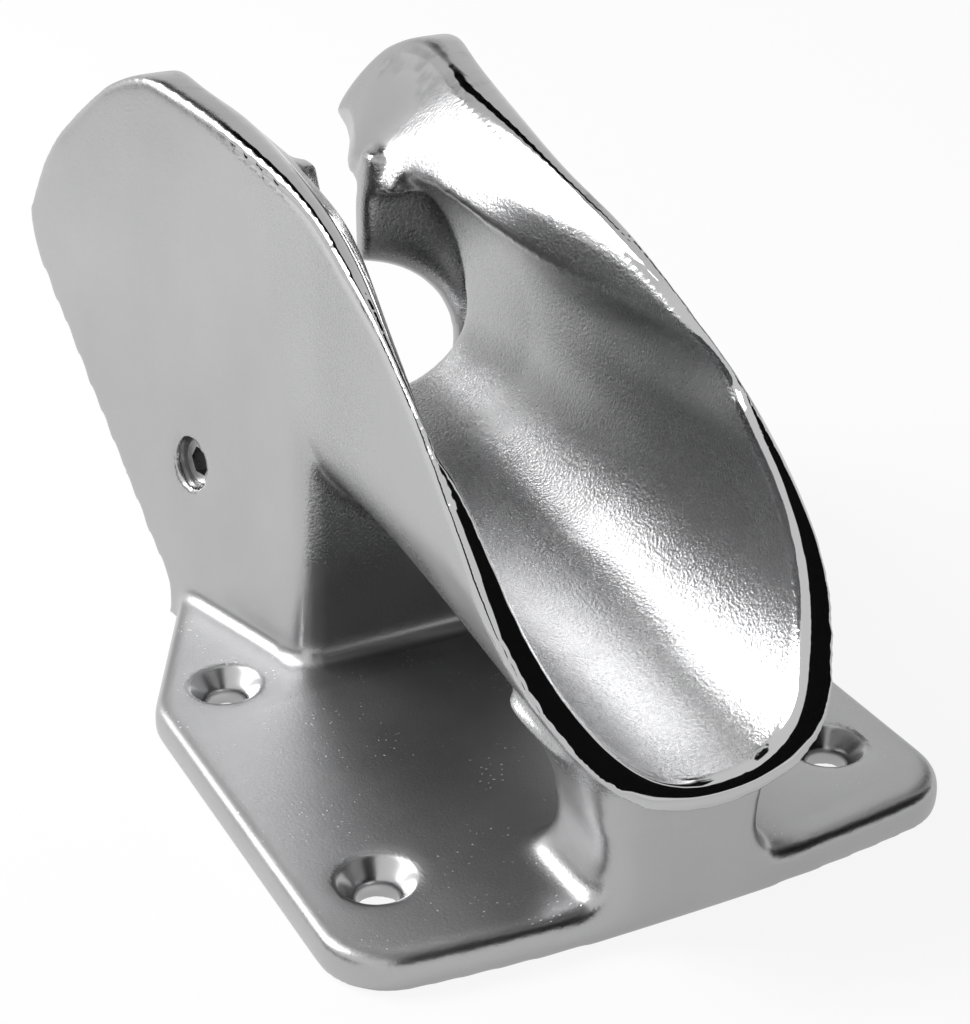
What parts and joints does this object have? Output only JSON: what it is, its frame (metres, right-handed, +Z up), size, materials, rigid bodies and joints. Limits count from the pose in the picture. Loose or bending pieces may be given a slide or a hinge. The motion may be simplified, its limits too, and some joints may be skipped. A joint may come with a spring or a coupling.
{
  "type": "bow chain guide",
  "caption": "Deck-mounted cast chain guide: a flared trough on a neck and pedestal, with curled horns over the chain and a countersunk base plate.",
  "frame": {"origin": "centre of the four fixing holes, on the underside of the base plate", "axes": "+Z up from the deck, -Y forward to the flared lip, +Y aft, X across; the body is symmetric about X = 0 apart from the tapped hole in the -X cheek"},
  "size_m": [0.137, 0.2296, 0.1241],
  "materials": {
    "cast_steel": "satin cast stainless steel with polished rims",
    "screw_steel": "plain stainless steel"
  },
  "bodies": {
    "casting": {"guide_casting": "cast_steel"},
    "screw": {"set_screw": "screw_steel"}
  },
  "joints": [
    {"name": "set_screw_travel", "type": "slide", "parent": "casting", "child": "screw", "axis": [-0.9681, -0.2329, 0.0921], "range_m": [-0.0009, 0.013]}
  ]
}
